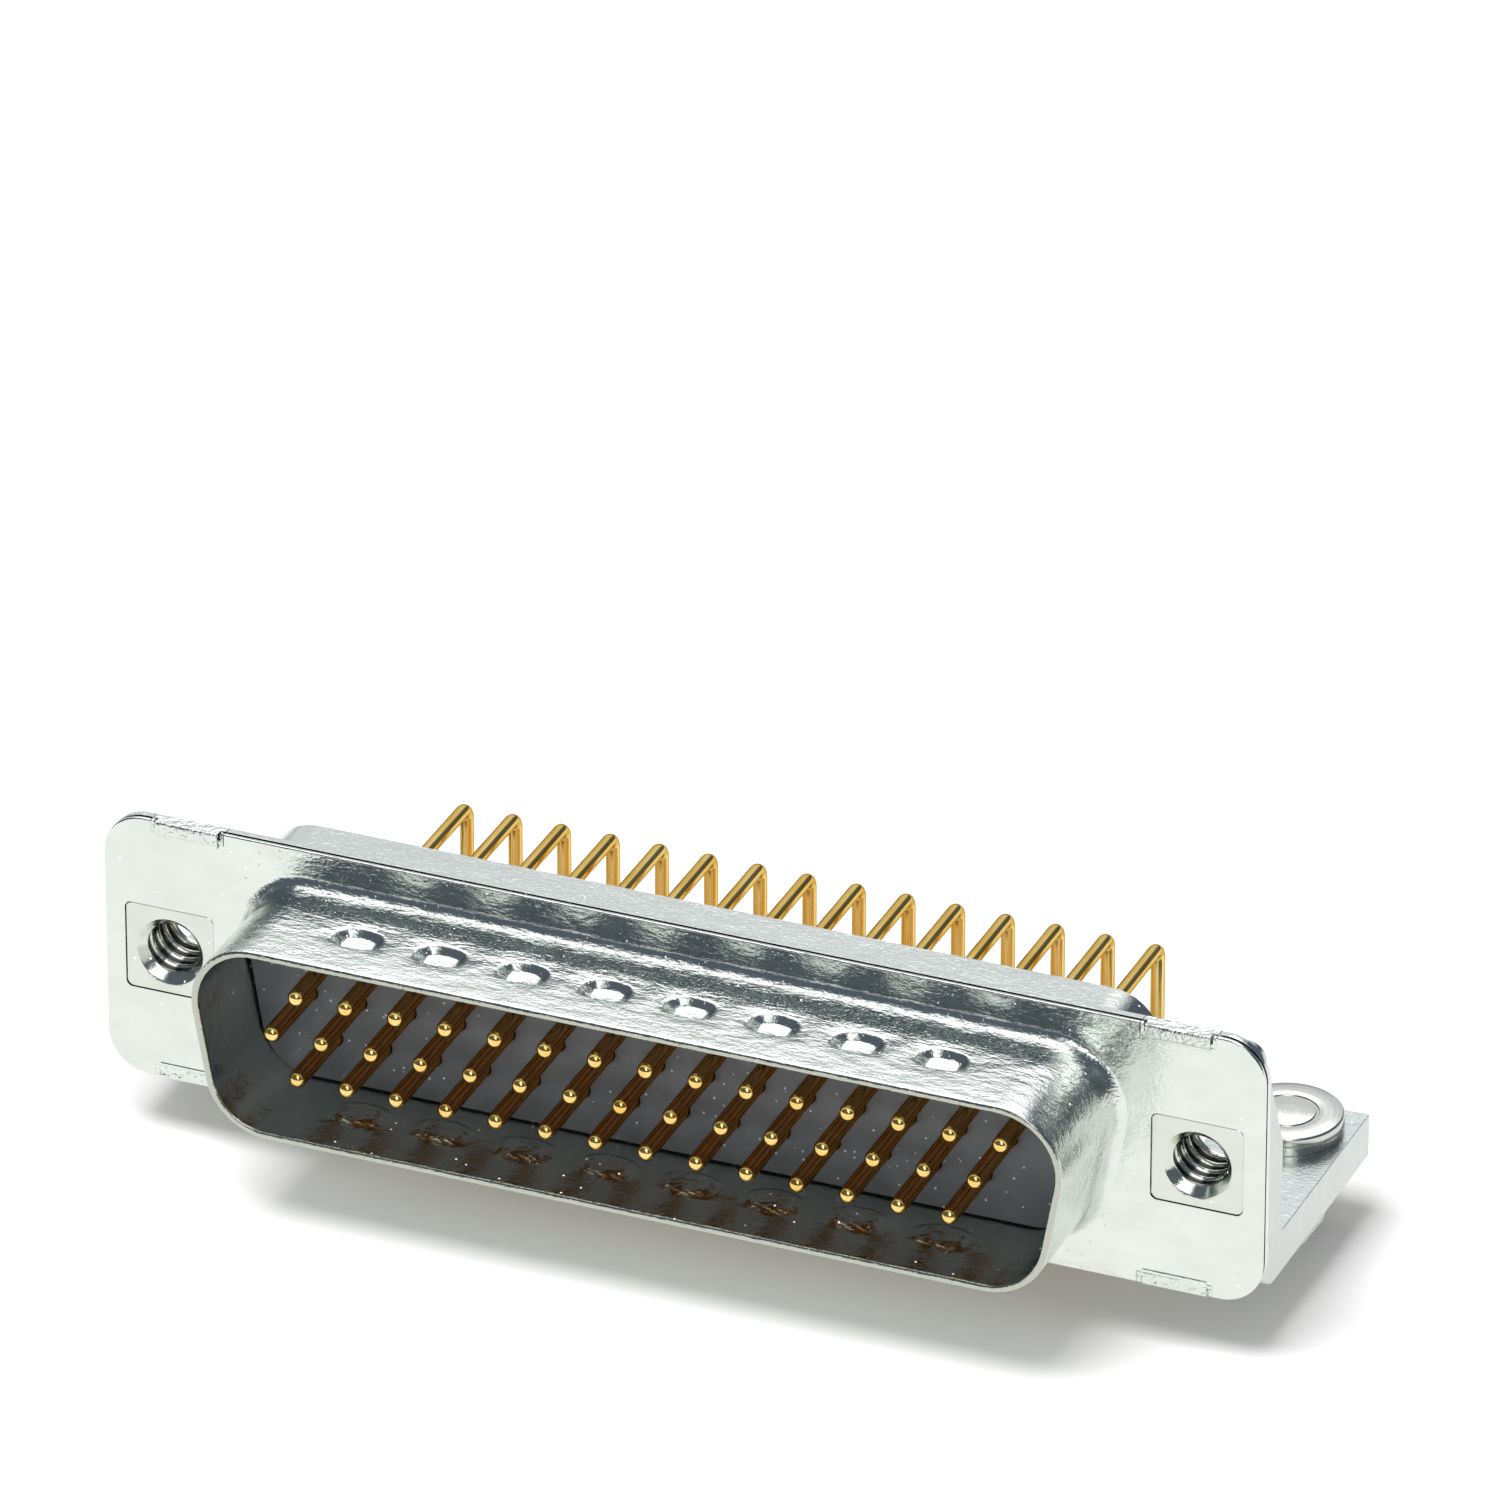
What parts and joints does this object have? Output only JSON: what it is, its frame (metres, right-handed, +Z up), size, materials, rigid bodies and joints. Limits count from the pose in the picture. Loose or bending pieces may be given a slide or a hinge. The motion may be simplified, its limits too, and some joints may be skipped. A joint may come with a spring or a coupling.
{
  "type": "d-sub connector",
  "caption": "Right-angle high-density male D-sub connector with a plated D shell, round gold contacts, threaded inserts, L brackets and board posts.",
  "frame": {"origin": "on the board's surface, midway between the two board posts", "axes": "+X along the connector to its right end as seen from the mouth, +Y backwards away from the mouth, +Z up off the board"},
  "size_m": [0.053, 0.0197, 0.0159],
  "materials": {
    "plated_steel": "satin tin plate",
    "black_insulator": "matte",
    "gold_contact": "bright gold plate",
    "plated_insert": "satin",
    "bracket_metal": "satin",
    "post_metal": "satin, fine turning lines"
  },
  "bodies": {
    "root": {"front_shell": "plated_steel", "rear_shell": "plated_steel", "front_insulator": "black_insulator", "rear_insulator": "black_insulator", "contact_01": "gold_contact", "contact_02": "gold_contact", "contact_03": "gold_contact", "contact_04": "gold_contact", "contact_05": "gold_contact", "contact_06": "gold_contact", "contact_07": "gold_contact", "contact_08": "gold_contact", "contact_09": "gold_contact", "contact_10": "gold_contact", "contact_11": "gold_contact", "contact_12": "gold_contact", "contact_13": "gold_contact", "contact_14": "gold_contact", "contact_15": "gold_contact", "contact_16": "gold_contact", "contact_17": "gold_contact", "contact_18": "gold_contact", "contact_19": "gold_contact", "contact_20": "gold_contact", "contact_21": "gold_contact", "contact_22": "gold_contact", "contact_23": "gold_contact", "contact_24": "gold_contact", "contact_25": "gold_contact", "contact_26": "gold_contact", "contact_27": "gold_contact", "contact_28": "gold_contact", "contact_29": "gold_contact", "contact_30": "gold_contact", "contact_31": "gold_contact", "contact_32": "gold_contact", "contact_33": "gold_contact", "contact_34": "gold_contact", "contact_35": "gold_contact", "contact_36": "gold_contact", "contact_37": "gold_contact", "contact_38": "gold_contact", "contact_39": "gold_contact", "contact_40": "gold_contact", "contact_41": "gold_contact", "contact_42": "gold_contact", "contact_43": "gold_contact", "contact_44": "gold_contact", "threaded_insert_left": "plated_insert", "threaded_insert_right": "plated_insert", "bracket_left": "bracket_metal", "bracket_right": "bracket_metal", "board_post_left": "post_metal", "board_post_right": "post_metal"}
  },
  "joints": []
}
